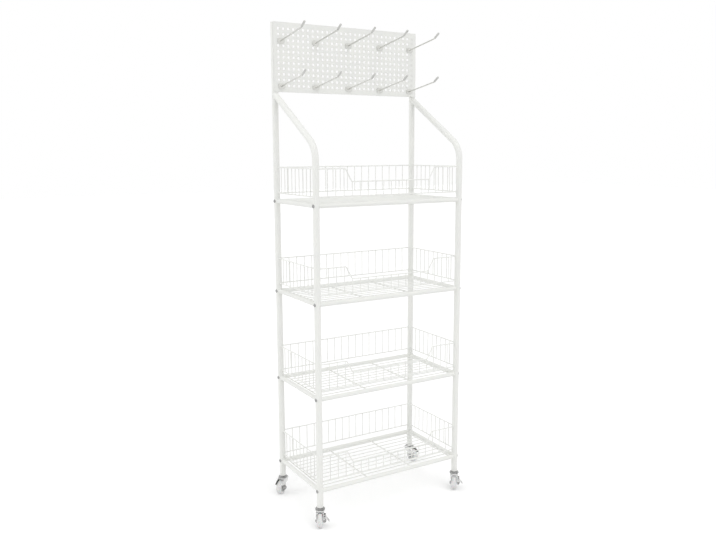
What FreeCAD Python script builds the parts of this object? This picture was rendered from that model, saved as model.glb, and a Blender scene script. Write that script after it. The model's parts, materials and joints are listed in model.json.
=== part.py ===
import FreeCAD, Part
import math
import os

# Snack display rack: four tube posts, four wire-basket shelves, a pegboard with hooks, swivel casters.
# Millimetres. +Z is up, the front faces -Y, the origin is on the floor midway between the posts.

V = FreeCAD.Vector

# Posts
post_span_x = 578.0
post_span_y = 302.0
post_dia = 22.0
post_wall = 1.2
post_foot_z = 75.0
rear_post_top_z = 1711.5
brace_bend_z = 1287.0
brace_top_z = 1470.5
brace_bend_radius = 80.0
cope_gap = 0.05
cut_overrun = 1.0
top_cap_head = 2.0
top_cap_depth = 14.0
top_cap_round = 1.5

# Rails and shelf levels
rail_dia = 15.0
rail_wall = 1.0
first_shelf_z = 124.0
shelf_pitch = 325.0
shelf_count = 4

# Wire decks
deck_wire_dia = 3.2
deck_wire_pitch = 27.5
crossbar_dia = 5.0
crossbar_x = 93.0
end_wire_dia = 4.0
end_wire_inset = 8.0
weld_sink = 0.4

# Wire guards, heights above the rail axis
guard_frame_dia = 4.0
guard_bar_dia = 3.0
guard_low_z = 29.0
guard_top_z = 119.0
guard_bar_pitch = 31.0
side_guard_bar_pitch = 28.0
dip_z = 76.0
dip_half_low = 156.0
dip_half_top = 180.0
dip_bend_radius = 8.0
guard_end_depth = 6.0
guard_hole_clearance = 0.1

# Shelf bolts and the threaded plugs in the rail ends
bolt_dia = 6.0
bolt_length = 35.0
bolt_hole_clearance = 0.2
bolt_flange_dia = 12.5
bolt_flange = 1.0
bolt_head_dia = 8.6
bolt_head_height = 2.2
bolt_head_round = 1.2
bolt_socket_flats = 4.0
bolt_socket_depth = 1.6
plug_length = 14.0
thread_clearance = 0.05

# Pegboard panel
panel_top_z = 1714.0
panel_width = 593.0
panel_height = 235.5
panel_sheet = 1.2
panel_rim = 12.0
panel_rim_gap = 1.0
panel_tab = 1.6
panel_tab_depth = 18.0
panel_tab_height = 10.0
panel_tab_rows = [3, 10]
hole_size = 8.0
hole_pitch = 19.15
hole_edge_x = 16.0
hole_edge_z = 16.0
screw_dia = 4.0
screw_hole_clearance = 0.1
screw_head_dia = 8.0
screw_head_height = 2.6
screw_head_round = 1.6
screw_length = 10.0

# Hooks
hooks_per_row = 5
hook_rows_below_top = 2
hook_step_holes = 7
hook_wire_dia = 5.0
hook_plate_width = 28.0
hook_plate_height = 18.0
hook_plate_thickness = 2.0
hook_plate_corner = 8.5
hook_plate_drop = 2.5
hook_reach = 158.0
hook_rise = 23.0
hook_tip_reach = 25.0
hook_tip_rise = 15.0
hook_bend_radius = 12.0
prong_dia = 4.0
prong_height = 16.0
prong_bend_radius = 4.0
prong_gap = 0.4
tip_cap_dia = 7.6
tip_cap_cover = 25.0
tip_cap_end = 3.0
tip_cap_round = 2.6

# Casters
wheel_dia = 50.0
tyre_width = 20.0
tyre_round = 5.0
tyre_depth = 7.0
hub_rim = 3.0
hub_web_width = 9.0
hub_boss_dia = 15.0
hub_side_step = 0.6
caster_trail = 18.0
axle_dia = 8.0
axle_clearance = 0.05
axle_head_dia = 13.0
axle_head_height = 2.6
axle_head_round = 1.6
axle_nut_flats = 13.0
axle_nut_height = 6.5
axle_tail = 1.5
fork_gap = 1.5
fork_leg = 2.2
fork_hood = 3.0
fork_hood_gap = 2.2
fork_hood_round = 3.0
fork_cheek_edge_z = 40.0
fork_crown_edge_z = 50.0
fork_crown_front = 17.0
fork_plate = 3.5
fork_plate_dia = 34.0
fork_plate_rise = 0.5
fork_boss_dia = 17.0
fork_leg_flare = 7.0
fork_back = 16.0
stem_dia = 10.0
stem_depth = 25.0
stem_head_dia = 16.0
stem_head = 3.2
stem_gap = 0.3
race_dia = 32.0
race_rim = 2.2
race_neck_dia = 20.0
race_neck = 2.0
socket_flange = 9.0
socket_length = 32.0

# Side brake on the front casters
brake_z = 44.0
brake_pin_dia = 3.0
brake_pin_end = 1.0
brake_pin_out = 3.5
brake_ear = 2.0
brake_ear_half = 8.0
brake_ear_height = 6.0
brake_gap = 0.4
brake_plate = 2.4
brake_knee_out = 7.5
brake_knee_drop = 9.0
brake_tip_out = 17.0
brake_tip_drop = 21.5
brake_tip_width = 12.0
brake_shoe_out = 13.0
brake_shoe_width = 4.0
brake_shoe_low = 9.5
brake_shoe_height = 6.0
brake_shoe_gap = 1.35
brake_window_gap = 1.2

# Caster name, side, front or rear, heading of the trailing wheel in degrees from +X, brake
casters = [
    ("front_left", -1, -1, 240.0, True),
    ("front_right", 1, -1, 232.0, True),
    ("rear_left", -1, 1, 219.0, False),
    ("rear_right", 1, 1, 280.0, False),
]

X_AXIS = V(1, 0, 0)
Y_AXIS = V(0, 1, 0)
Z_AXIS = V(0, 0, 1)
SIDES = {"left": -1, "right": 1}

half_x = post_span_x / 2
half_y = post_span_y / 2
post_r = post_dia / 2
post_bore_dia = post_dia - 2 * post_wall
rail_bore_dia = rail_dia - 2 * rail_wall
shelf_levels = [first_shelf_z + shelf_pitch * n for n in range(shelf_count)]
nodes = {}


def rod(start, end, dia):
    """A round bar between two points."""
    return Part.makeCylinder(dia / 2, start.distanceToPoint(end), start, end - start)


def bent_path(points, radius):
    """Straight runs through the points, joined by tangent arcs."""
    edges = []
    here = points[0]
    for before, corner, after in zip(points, points[1:], points[2:]):
        along = (corner - before).normalize()
        onward = (after - corner).normalize()
        turn = along.getAngle(onward)
        tangent = radius * math.tan(turn / 2)
        arc_start = corner - along * tangent
        arc_end = corner + onward * tangent
        inward = (onward - along).normalize()
        arc_middle = corner + inward * (radius / math.cos(turn / 2) - radius)
        edges.append(Part.makeLine(here, arc_start))
        edges.append(Part.Arc(arc_start, arc_middle, arc_end).toShape())
        here = arc_end
    edges.append(Part.makeLine(here, points[-1]))
    return Part.Wire(edges)


def bent_rod(points, dia, radius):
    """A round bar swept along a bent path."""
    ring = Part.Wire([Part.makeCircle(dia / 2, points[0], points[1] - points[0])])
    return bent_path(points, radius).makePipeShell([ring], True, False)


def fuse_all(shapes):
    """One welded solid from touching shapes."""
    return shapes[0].multiFuse(shapes[1:]).removeSplitter()


def prism(corners, vector):
    """A solid from a closed outline and a sweep vector."""
    return Part.Face(Part.makePolygon(corners + corners[:1])).extrude(vector)


def hex_prism(flats, height, base, axis):
    """A six-sided bar that stands on a base point."""
    radius = flats / 2 / math.cos(math.pi / 6)
    corners = [V(radius * math.cos(a), radius * math.sin(a), 0)
               for a in (math.pi / 3 * n for n in range(6))]
    bar = prism(corners, V(0, 0, height))
    bar.Placement = FreeCAD.Placement(base, FreeCAD.Rotation(Z_AXIS, axis))
    return bar


def domed_head(dia, height, round_radius, base, axis):
    """A round screw head with a rounded top edge."""
    head = Part.makeCylinder(dia / 2, height)
    top = [e for e in head.Edges if len(e.Vertexes) == 1 and e.CenterOfMass.z > height * 0.9]
    head = head.makeFillet(round_radius, top)
    head.Placement = FreeCAD.Placement(base, FreeCAD.Rotation(Z_AXIS, axis))
    return head


def post_axis(side, depth, z):
    """A point on a post's axis."""
    return V(side * half_x, depth * half_y, z)


def coped(shape, *posts):
    """A bar end shaped to sit against the posts."""
    for side, depth in posts:
        low = post_axis(side, depth, shape.BoundBox.ZMin - post_dia)
        high = post_axis(side, depth, shape.BoundBox.ZMax + post_dia)
        shape = shape.cut(rod(low, high, post_dia + 2 * cope_gap))
    return shape


def tube_between(start, end, dia, bore):
    """A straight tube between two points."""
    return rod(start, end, dia).cut(rod(start, end, bore))


def guard_wire_heights(level):
    """The two heights at which a shelf's guards enter the posts."""
    return [level + guard_low_z, level + guard_top_z]


def post_drillings(side, depth):
    """Holes in one post for the shelf bolts and the guard wire ends."""
    cutters = []
    inner = post_r - guard_end_depth - cut_overrun
    outer = post_r + cut_overrun
    hole = guard_frame_dia + 2 * guard_hole_clearance
    for level in shelf_levels:
        axis = post_axis(side, depth, level)
        cutters.append(rod(axis - X_AXIS * post_dia, axis + X_AXIS * post_dia,
                           bolt_dia + 2 * bolt_hole_clearance))
        for z in guard_wire_heights(level):
            centre = post_axis(side, depth, z)
            for inward in (X_AXIS * -side, Y_AXIS * -depth):
                cutters.append(rod(centre + inward * inner, centre + inward * outer, hole))
    if depth > 0:
        for z in screw_heights:
            centre = post_axis(side, depth, z)
            inward = X_AXIS * -side
            cutters.append(rod(centre, centre + inward * outer, screw_dia + 2 * screw_hole_clearance))
    return Part.makeCompound(cutters)


# Panel layout, shared by the panel, its screws and the hooks
panel_half = panel_width / 2
panel_low = panel_top_z - panel_height
panel_back = half_y - post_r - cope_gap
panel_front = panel_back - panel_sheet
tab_x = half_x - post_r - cope_gap
hole_columns = int((2 * panel_half - 2 * hole_edge_x) // hole_pitch) + 1
hole_rows = int((panel_height - 2 * hole_edge_z) // hole_pitch) + 1
first_column_x = -(hole_columns - 1) * hole_pitch / 2
first_row_z = panel_low + (panel_height - (hole_rows - 1) * hole_pitch) / 2
screw_heights = [first_row_z + hole_pitch * (row - 0.5) for row in panel_tab_rows]


# Rear posts: straight tubes from the casters up behind the panel
def rear_post(side):
    tube = tube_between(post_axis(side, 1, post_foot_z), post_axis(side, 1, rear_post_top_z),
                        post_dia, post_bore_dia)
    return tube.cut(post_drillings(side, 1))


# Front posts: one tube that bends back and slopes up to the rear post
def front_post(side):
    points = [post_axis(side, -1, post_foot_z), post_axis(side, -1, brace_bend_z),
              post_axis(side, 1, brace_top_z)]
    tube = bent_rod(points, post_dia, brace_bend_radius)
    tube = tube.cut(bent_rod(points, post_bore_dia, brace_bend_radius))
    return coped(tube, (side, 1)).cut(post_drillings(side, -1))


for name, side in SIDES.items():
    nodes["rear_post_" + name] = [rear_post(side)]
    nodes["front_post_" + name] = [front_post(side)]


# Plugs in the open tops of the rear posts
def post_top_cap(side):
    top = post_axis(side, 1, rear_post_top_z)
    head = domed_head(post_dia, top_cap_head, top_cap_round, top, Z_AXIS)
    return head.fuse(rod(top - Z_AXIS * top_cap_depth, top, post_bore_dia)).removeSplitter()


nodes["post_top_caps"] = [post_top_cap(side) for side in SIDES.values()]


# Side rails: short tubes welded between the front and rear post
def side_rail(side, level):
    tube = tube_between(post_axis(side, -1, level), post_axis(side, 1, level), rail_dia, rail_bore_dia)
    return coped(tube, (side, -1), (side, 1))


nodes["side_rails"] = [side_rail(side, level) for side in SIDES.values() for level in shelf_levels]


# Shelf rails: the front and rear tubes that the shelf bolts hold
def shelf_rail(depth, level):
    tube = tube_between(post_axis(-1, depth, level), post_axis(1, depth, level), rail_dia, rail_bore_dia)
    return coped(tube, (-1, depth), (1, depth))


# Threaded plug in a rail end
def rail_plug(side, depth, level):
    axis = post_axis(side, depth, level)
    inner_end = axis - X_AXIS * side * (post_r + plug_length)
    plug = tube_between(axis, inner_end, rail_bore_dia, bolt_dia + 2 * thread_clearance)
    return coped(plug, (side, depth))


# Shelf bolt: a low socket head with a flange shaped to the post, a shank into the rail plug
def shelf_bolt(side, depth, level):
    outward = X_AXIS * side
    axis = post_axis(side, depth, level)
    seat = axis + outward * (post_r + cope_gap)
    low, high = axis - Z_AXIS * bolt_flange_dia, axis + Z_AXIS * bolt_flange_dia
    flange = tube_between(low, high, post_dia + 2 * (cope_gap + bolt_flange), post_dia + 2 * cope_gap)
    flange = flange.common(rod(axis, seat + outward * bolt_head_height, bolt_flange_dia))
    head = domed_head(bolt_head_dia, bolt_head_height, bolt_head_round, seat, outward)
    shank = rod(seat, seat - outward * bolt_length, bolt_dia)
    socket_base = seat + outward * (bolt_head_height - bolt_socket_depth)
    socket = hex_prism(bolt_socket_flats, bolt_head_height, socket_base, outward)
    return fuse_all([shank, flange, head]).cut(socket)


# Wire deck: wires from side to side, welded on two cross bars and two end wires
def shelf_deck(level):
    bar_z = level
    wire_z = bar_z + crossbar_dia / 2 + deck_wire_dia / 2 - weld_sink
    end_z = wire_z - deck_wire_dia / 2 - end_wire_dia / 2 + weld_sink
    end_x = half_x - post_r - end_wire_inset
    wire_end = end_x + end_wire_dia / 2
    bars = []
    for side in (-1, 1):
        for x, z, dia in ((crossbar_x, bar_z, crossbar_dia), (end_x, end_z, end_wire_dia)):
            bars.append(rod(V(side * x, -half_y, z), V(side * x, half_y, z), dia))
    rails = [rod(post_axis(-1, d, level), post_axis(1, d, level), rail_dia + 2 * cope_gap) for d in (-1, 1)]
    bars = [bar.cut(Part.makeCompound(rails)) for bar in bars]
    gaps = round(post_span_y / deck_wire_pitch)
    for n in range(1, gaps):
        y = -half_y + post_span_y * n / gaps
        bars.append(rod(V(-wire_end, y, wire_z), V(wire_end, y, wire_z), deck_wire_dia))
    return fuse_all(bars)


def guard_bars(length, pitch):
    """Even places for upright bars along a guard, measured from its middle."""
    gaps = round(length / pitch)
    return [length * (n / gaps - 0.5) for n in range(1, gaps)]


# Flat guard: a top wire, a bottom wire and upright bars between two posts
def flat_guard(start, end, pitch):
    along = (end - start).normalize()
    span = start.distanceToPoint(end) - post_dia
    middle = (start + end) * 0.5
    reach = along * (span / 2 + guard_end_depth)
    wires = []
    for z in guard_wire_heights(0):
        centre = middle + Z_AXIS * z
        wires.append(rod(centre - reach, centre + reach, guard_frame_dia))
    for place in guard_bars(span, pitch):
        foot = middle + along * place
        wires.append(rod(foot + Z_AXIS * guard_low_z, foot + Z_AXIS * guard_top_z, guard_bar_dia))
    return fuse_all(wires)


# Front guard: as the flat one, with a top wire that dips in the middle
def front_guard(level):
    low_z, top_z = guard_wire_heights(level)
    dip = level + dip_z
    end_x = half_x - post_r + guard_end_depth
    span = post_span_x - post_dia
    outline = [(-end_x, top_z), (-dip_half_top, top_z), (-dip_half_low, dip),
               (dip_half_low, dip), (dip_half_top, top_z), (end_x, top_z)]
    wires = [bent_rod([V(x, -half_y, z) for x, z in outline], guard_frame_dia, dip_bend_radius)]
    wires.append(rod(V(-end_x, -half_y, low_z), V(end_x, -half_y, low_z), guard_frame_dia))
    for x in guard_bars(span, guard_bar_pitch):
        slope = (abs(x) - dip_half_low) / (dip_half_top - dip_half_low)
        height = dip + (top_z - dip) * min(max(slope, 0.0), 1.0)
        wires.append(rod(V(x, -half_y, low_z), V(x, -half_y, height), guard_bar_dia))
    return fuse_all(wires)


bolts = []
plugs = []
side_guards = {name: [] for name in SIDES}
for number, level in enumerate(shelf_levels, start=1):
    shelf = "shelf_%d_" % number
    nodes[shelf + "rails"] = [shelf_rail(depth, level) for depth in (-1, 1)]
    nodes[shelf + "deck"] = [shelf_deck(level)]
    nodes[shelf + "back_guard"] = [flat_guard(post_axis(-1, 1, level), post_axis(1, 1, level),
                                              guard_bar_pitch)]
    nodes[shelf + "front_guard"] = [front_guard(level)]
    for name, side in SIDES.items():
        side_guards[name].append(flat_guard(post_axis(side, -1, level), post_axis(side, 1, level),
                                            side_guard_bar_pitch))
        bolts += [shelf_bolt(side, depth, level) for depth in (-1, 1)]
        plugs += [rail_plug(side, depth, level) for depth in (-1, 1)]
for name in SIDES:
    nodes["side_guards_" + name] = side_guards[name]
nodes["shelf_bolts"] = bolts
nodes["rail_end_plugs"] = plugs


# Pegboard: a sheet with square holes in front of the posts, its top and bottom edges folded back between
# them, and four tabs behind it that lie against the posts' inner sides
def pegboard_panel():
    def outline(half_width, low, high):
        corners = [V(-half_width, panel_front, low), V(half_width, panel_front, low),
                   V(half_width, panel_front, high), V(-half_width, panel_front, high)]
        return Part.makePolygon(corners + corners[:1])

    outlines = [outline(panel_half, panel_low, panel_top_z)]
    for row in range(hole_rows):
        for column in range(hole_columns):
            x = first_column_x + column * hole_pitch
            z = first_row_z + row * hole_pitch
            square = outline(hole_size / 2, z - hole_size / 2, z + hole_size / 2)
            square.translate(V(x, 0, 0))
            outlines.append(square)
    pieces = [Part.makeFace(outlines, "Part::FaceMakerBullseye").extrude(V(0, panel_sheet, 0))]
    rim_half = half_x - post_r - panel_rim_gap
    for z in (panel_low, panel_top_z - panel_sheet):
        pieces.append(Part.makeBox(2 * rim_half, panel_rim, panel_sheet, V(-rim_half, panel_front, z)))
    for side in SIDES.values():
        for z in screw_heights:
            corner = V(min(side * tab_x, side * (tab_x - panel_tab)), panel_front, z - panel_tab_height / 2)
            tab = Part.makeBox(panel_tab, panel_tab_depth, panel_tab_height, corner)
            centre = V(side * tab_x, half_y, z)
            reach = X_AXIS * screw_dia
            pieces.append(tab.cut(rod(centre - reach, centre + reach, screw_dia + 2 * screw_hole_clearance)))
    return fuse_all(pieces)


# Screw through a tab of the panel into a rear post
def panel_screw(side, z):
    inward = X_AXIS * -side
    seat = V(side * (tab_x - panel_tab), half_y, z)
    head = domed_head(screw_head_dia, screw_head_height, screw_head_round, seat, inward)
    return head.fuse(rod(seat, seat - inward * screw_length, screw_dia)).removeSplitter()


nodes["pegboard_panel"] = [pegboard_panel()]
nodes["panel_screws"] = [panel_screw(side, z) for side in SIDES.values() for z in screw_heights]


def hook_points(x, z):
    """Root, elbow and end of a hook's rod."""
    root = V(x, panel_front - hook_plate_thickness / 2, z - hook_plate_drop)
    elbow = root + V(0, -hook_reach, hook_rise)
    return [root, elbow, elbow + V(0, -hook_tip_reach, hook_tip_rise)]


# Hook: two prongs through neighbouring panel holes, a base plate on the panel's face and a rising rod
def hook(x, z):
    plate_low = V(x - hook_plate_width / 2, panel_front - hook_plate_thickness,
                  z - hook_plate_drop - hook_plate_height / 2)
    plate = Part.makeBox(hook_plate_width, hook_plate_thickness, hook_plate_height, plate_low)
    corners = [e for e in plate.Edges if abs(e.tangentAt(e.FirstParameter).y) > 0.9]
    pieces = [plate.makeFillet(hook_plate_corner, corners),
              bent_rod(hook_points(x, z), hook_wire_dia, hook_bend_radius)]
    prong_y = panel_back + prong_gap + prong_dia / 2
    for side in SIDES.values():
        prong_x = x + side * hole_pitch / 2
        pieces.append(bent_rod([V(prong_x, prong_y, z + prong_height), V(prong_x, prong_y, z),
                                V(prong_x, panel_front - hook_plate_thickness / 2, z)],
                               prong_dia, prong_bend_radius))
    return fuse_all(pieces)


# Cap on a hook's tip
def hook_tip(x, z):
    root, elbow, end = hook_points(x, z)
    along = (end - elbow).normalize()
    mouth = end - along * tip_cap_cover
    cap = domed_head(tip_cap_dia, tip_cap_cover + tip_cap_end, tip_cap_round, mouth, along)
    return cap.cut(rod(mouth - along * cut_overrun, end, hook_wire_dia))


hook_columns = [hole_pitch * hook_step_holes * (n - (hooks_per_row - 1) / 2) for n in range(hooks_per_row)]
hook_rows = {"lower": first_row_z,
             "upper": first_row_z + hole_pitch * (hole_rows - 1 - hook_rows_below_top)}
nodes["hook_tips"] = []
for name, z in hook_rows.items():
    for number, x in enumerate(hook_columns, start=1):
        nodes["hook_%s_%d" % (name, number)] = [hook(x, z)]
        nodes["hook_tips"].append(hook_tip(x, z))

# Caster layout in its own frame: the swivel axis is Z, the wheel trails along +X, the axle lies along Y
axle = V(caster_trail, 0, wheel_dia / 2)
tyre_half = tyre_width / 2
slot_half = tyre_half + fork_gap
fork_half = slot_half + fork_leg
hood_r = wheel_dia / 2 + fork_hood_gap
plate_low = wheel_dia / 2 + hood_r + fork_hood + fork_plate_rise
plate_top = plate_low + fork_plate


def across(radius, half):
    """A round bar about the axle."""
    return Part.makeCylinder(radius, 2 * half, axle - Y_AXIS * half, Y_AXIS)


def side_block(outline, half):
    """A block from an outline in the plane of the wheel."""
    return prism([V(x, -half, z) for x, z in outline], V(0, 2 * half, 0))


# Fork: a round swivel plate on a short crown, and two round cheeks with legs down to the axle
def fork(braked):
    boss_r = fork_boss_dia / 2
    edge = fork_cheek_edge_z
    hood = across(hood_r + fork_hood, fork_half)
    hood = hood.makeFillet(fork_hood_round, [e for e in hood.Edges if len(e.Vertexes) == 1])
    reach = wheel_dia + caster_trail
    hood = hood.common(Part.makeBox(2 * reach, 2 * reach, reach, V(-reach, -reach, edge)))
    hood_half = math.sqrt((hood_r + fork_hood) ** 2 - (edge - axle.z) ** 2)
    cheek = side_block([(-fork_back, plate_top), (-fork_back, plate_low - fork_plate),
                        (axle.x - hood_half, edge), (axle.x, edge), (axle.x, plate_top)], fork_half)
    leg = side_block([(axle.x - boss_r - fork_leg_flare, edge), (axle.x - boss_r, axle.z),
                      (axle.x + boss_r, axle.z), (axle.x + boss_r + fork_leg_flare, edge)], fork_half)
    disc = rod(V(0, 0, plate_low), V(0, 0, plate_top), fork_plate_dia)
    body = fuse_all([hood, cheek, leg, across(boss_r, fork_half), disc])
    rear = fork_leg - fork_back
    front = -rear
    chamber = side_block([(rear, 0), (rear, plate_low), (front, plate_low), (front, 0)], slot_half)
    crown = fork_crown_edge_z
    below = side_block([(-reach, 0), (-reach, crown), (reach, crown), (reach, 0)], slot_half)
    ahead = side_block([(fork_crown_front, 0), (fork_crown_front, plate_low), (reach, plate_low), (reach, 0)],
                       slot_half)
    body = body.cut(Part.makeCompound([across(hood_r, slot_half), chamber, below]))
    body = body.cut(ahead)
    body = body.cut(rod(V(0, 0, 0), V(0, 0, plate_top + cut_overrun), stem_dia + 2 * axle_clearance))
    body = body.cut(across(axle_dia / 2 + axle_clearance, fork_half + cut_overrun))
    if braked:
        body = brake_seat(body)
    return body.removeSplitter()


brake_pin = V(axle.x, fork_half + brake_pin_out, brake_z)


# Ears for the brake pin on the outer leg, and the notch that lets the shoe reach the tyre
def brake_seat(body):
    height = brake_ear_height
    for side in (-1, 1):
        near = brake_pin.x + side * brake_ear_half
        low = V(min(near, near + side * brake_ear), fork_half - fork_leg, brake_z - height / 2)
        ear = Part.makeBox(brake_ear, fork_leg + brake_pin_out + height / 2, height, low)
        body = body.fuse(ear)
    notch = V(axle.x + brake_shoe_out - brake_window_gap, slot_half - cut_overrun,
              brake_z - brake_shoe_low - brake_window_gap)
    body = body.cut(Part.makeBox(brake_shoe_width + 2 * brake_window_gap, fork_leg + 2 * cut_overrun,
                                 brake_shoe_height + 2 * brake_window_gap, notch))
    reach = X_AXIS * (brake_ear_half + brake_ear + cut_overrun)
    return body.cut(rod(brake_pin - reach, brake_pin + reach, brake_pin_dia + 2 * axle_clearance))


# Brake lever: a bent toe plate on its pin, with a shoe that presses the side of the tyre
def brake_lever():
    half = brake_ear_half - brake_gap
    knee = brake_pin + V(0, brake_knee_out - brake_pin_out, -brake_knee_drop)
    tip = brake_pin + V(0, brake_tip_out - brake_pin_out, -brake_tip_drop)
    top_run = [brake_pin + V(-half, 0, 0), brake_pin + V(half, 0, 0),
               knee + V(half, 0, 0), knee + V(-half, 0, 0)]
    toe = [knee + V(-half, 0, 0), knee + V(half, 0, 0),
           tip + V(brake_tip_width / 2, 0, 0), tip + V(-brake_tip_width / 2, 0, 0)]
    top_out = X_AXIS.cross(knee - brake_pin).normalize() * brake_plate
    toe_out = X_AXIS.cross(tip - knee).normalize() * brake_plate
    shoe_x = axle.x + brake_shoe_out
    face_y = tyre_half + brake_shoe_gap
    low = brake_z - brake_shoe_low
    shoe = Part.makeBox(brake_shoe_width, brake_pin.y - face_y, brake_shoe_height, V(shoe_x, face_y, low))
    arm = Part.makeBox(brake_shoe_width, brake_pin_dia, brake_shoe_low + brake_pin_dia / 2,
                       V(shoe_x, brake_pin.y - brake_pin_dia / 2, low))
    pin = rod(brake_pin - X_AXIS * (brake_ear_half + brake_ear + brake_pin_end),
              V(shoe_x + brake_shoe_width, brake_pin.y, brake_pin.z), brake_pin_dia)
    return fuse_all([prism(top_run, top_out), prism(toe, toe_out), shoe, arm, pin])


# Axle bolt and nut
def axle_bolt():
    start = axle - Y_AXIS * fork_half
    shank = rod(start, axle + Y_AXIS * (fork_half + axle_nut_height + axle_tail), axle_dia)
    head = domed_head(axle_head_dia, axle_head_height, axle_head_round, start, Y_AXIS * -1)
    return head.fuse(shank).removeSplitter()


def axle_nut():
    seat = axle + Y_AXIS * fork_half
    nut = hex_prism(axle_nut_flats, axle_nut_height, seat, Y_AXIS)
    return nut.cut(rod(seat, seat + Y_AXIS * axle_nut_height, axle_dia))


# Wheel: a soft tyre with rounded shoulders on a moulded hub
tyre_bore_r = wheel_dia / 2 - tyre_depth


def tyre():
    ring = across(wheel_dia / 2, tyre_half)
    ring = ring.makeFillet(tyre_round, [e for e in ring.Edges if len(e.Vertexes) == 1])
    return ring.cut(across(tyre_bore_r, tyre_half + cut_overrun))


def hub():
    rim_half = tyre_half - hub_side_step
    ring = across(tyre_bore_r, rim_half).cut(across(tyre_bore_r - hub_rim, rim_half + cut_overrun))
    web = across(tyre_bore_r, hub_web_width / 2)
    boss = across(hub_boss_dia / 2, tyre_half + fork_gap / 2)
    body = fuse_all([ring, web, boss])
    return body.cut(across(axle_dia / 2 + axle_clearance, slot_half)).removeSplitter()


# Stem: fixed in the post, with a race above the fork plate and a riveted head below it
def caster_stem():
    r = stem_dia / 2
    seat_z = post_foot_z - socket_flange
    race_z = plate_top + stem_gap
    head_z = plate_low - stem_gap
    head_r = stem_head_dia / 2
    profile = [(0, head_z - stem_head), (head_r, head_z - stem_head), (head_r, head_z),
               (r, head_z), (r, race_z), (race_dia / 2, race_z), (race_dia / 2, race_z + race_rim),
               (race_neck_dia / 2, seat_z - race_neck), (race_neck_dia / 2, seat_z), (r, seat_z),
               (r, post_foot_z + stem_depth), (0, post_foot_z + stem_depth)]
    corners = [V(x, 0, z) for x, z in profile]
    return Part.Face(Part.makePolygon(corners + corners[:1])).revolve(V(0, 0, 0), Z_AXIS, 360)


# Socket: a plastic plug in the lower end of a post
def caster_socket():
    foot = V(0, 0, post_foot_z)
    flange = rod(foot - Z_AXIS * socket_flange, foot, post_dia)
    plug = rod(foot, foot + Z_AXIS * socket_length, post_bore_dia)
    bore = rod(foot - Z_AXIS * socket_flange, foot + Z_AXIS * stem_depth, stem_dia)
    return flange.fuse(plug).removeSplitter().cut(bore)


def placed(shape, side, depth, heading):
    """A caster piece turned to its heading under its post."""
    shape.rotate(V(0, 0, 0), Z_AXIS, heading)
    shape.translate(post_axis(side, depth, 0))
    return shape


nodes["caster_stems"] = []
nodes["caster_sockets"] = []
for name, side, depth, heading, braked in casters:
    nodes["caster_stems"].append(placed(caster_stem(), side, depth, heading))
    nodes["caster_sockets"].append(placed(caster_socket(), side, depth, heading))
    nodes["fork_" + name] = [placed(fork(braked), side, depth, heading)]
    nodes["axle_" + name] = [placed(piece, side, depth, heading) for piece in (axle_bolt(), axle_nut())]
    nodes["tyre_" + name] = [placed(tyre(), side, depth, heading)]
    nodes["hub_" + name] = [placed(hub(), side, depth, heading)]
    if braked:
        nodes["brake_lever_" + name] = [placed(brake_lever(), side, depth, heading)]

# One file per node
os.makedirs("parts", exist_ok=True)
for name, solids in nodes.items():
    solids = [solid for shape in solids for solid in shape.Solids]
    shape = solids[0] if len(solids) == 1 else Part.makeCompound(solids)
    shape.exportStep("parts/%s.step" % name)
    print("%-24s %2d solids  %10.0f mm3  valid %s" % (name, len(solids), shape.Volume, shape.isValid()))
print("%d nodes, %d hole columns, %d hole rows" % (len(nodes), hole_columns, hole_rows))
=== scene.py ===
# %% [markdown]
# A white snack display rack
#
# The rack is four bent and straight tubes, four wire-basket shelves, a pegboard with hooks and four
# swivel casters. The construction is already modelled, with every tube, wire and bolt at its real size,
# so the work here is what a maker's workshop adds: the coat on the steel, the plating on the hooks and
# casters, the weld beads, the moulded ribs in the wheels. Everything is in metres, +Z is up and the
# shelves face -Y.

# %% Load the construction as a fixed frame
import json
import math

import bmesh
import bpy
from mathutils import Matrix, Vector


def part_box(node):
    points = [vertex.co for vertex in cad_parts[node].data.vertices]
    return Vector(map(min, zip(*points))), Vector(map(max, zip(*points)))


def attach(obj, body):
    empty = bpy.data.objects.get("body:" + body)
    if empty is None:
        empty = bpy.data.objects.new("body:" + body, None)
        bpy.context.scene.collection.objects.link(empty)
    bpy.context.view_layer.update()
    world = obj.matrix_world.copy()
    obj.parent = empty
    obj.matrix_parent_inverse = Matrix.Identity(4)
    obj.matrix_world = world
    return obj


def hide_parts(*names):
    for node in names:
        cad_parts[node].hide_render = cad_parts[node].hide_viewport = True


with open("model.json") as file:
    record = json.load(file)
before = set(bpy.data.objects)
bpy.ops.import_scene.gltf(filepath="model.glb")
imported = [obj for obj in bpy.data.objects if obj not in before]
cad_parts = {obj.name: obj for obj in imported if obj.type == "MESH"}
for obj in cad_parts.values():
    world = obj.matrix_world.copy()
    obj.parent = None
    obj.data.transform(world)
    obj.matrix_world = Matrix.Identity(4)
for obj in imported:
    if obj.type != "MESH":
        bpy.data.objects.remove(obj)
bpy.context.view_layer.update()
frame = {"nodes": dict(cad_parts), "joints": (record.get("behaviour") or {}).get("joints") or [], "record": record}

# %% [markdown]
# Before anything is dressed, it pays to measure it. The tube radius, the shelf heights and the wheel
# places are read from the frame and its joints, so the finish stays where the steel is when a size
# changes. Only what the boxes cannot tell, such as the pitch of the wires inside a grille, is written
# here as a value.

# %% Measure the steel
MM = 0.001
X_AXIS, Y_AXIS, Z_AXIS = Vector((1, 0, 0)), Vector((0, 1, 0)), Vector((0, 0, 1))
joints = {joint["name"]: joint for joint in frame["joints"]}
slot_of = {part["node"]: part["material_slot"] for part in frame["record"]["subparts"]}
casters = [name[len("wheel_roll_"):] for name in joints if name.startswith("wheel_roll_")]


def middle(node):
    """The middle of a node's box."""
    low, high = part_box(node)
    return (low + high) / 2


def size(node):
    """The size of a node's box."""
    low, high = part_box(node)
    return high - low


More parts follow.
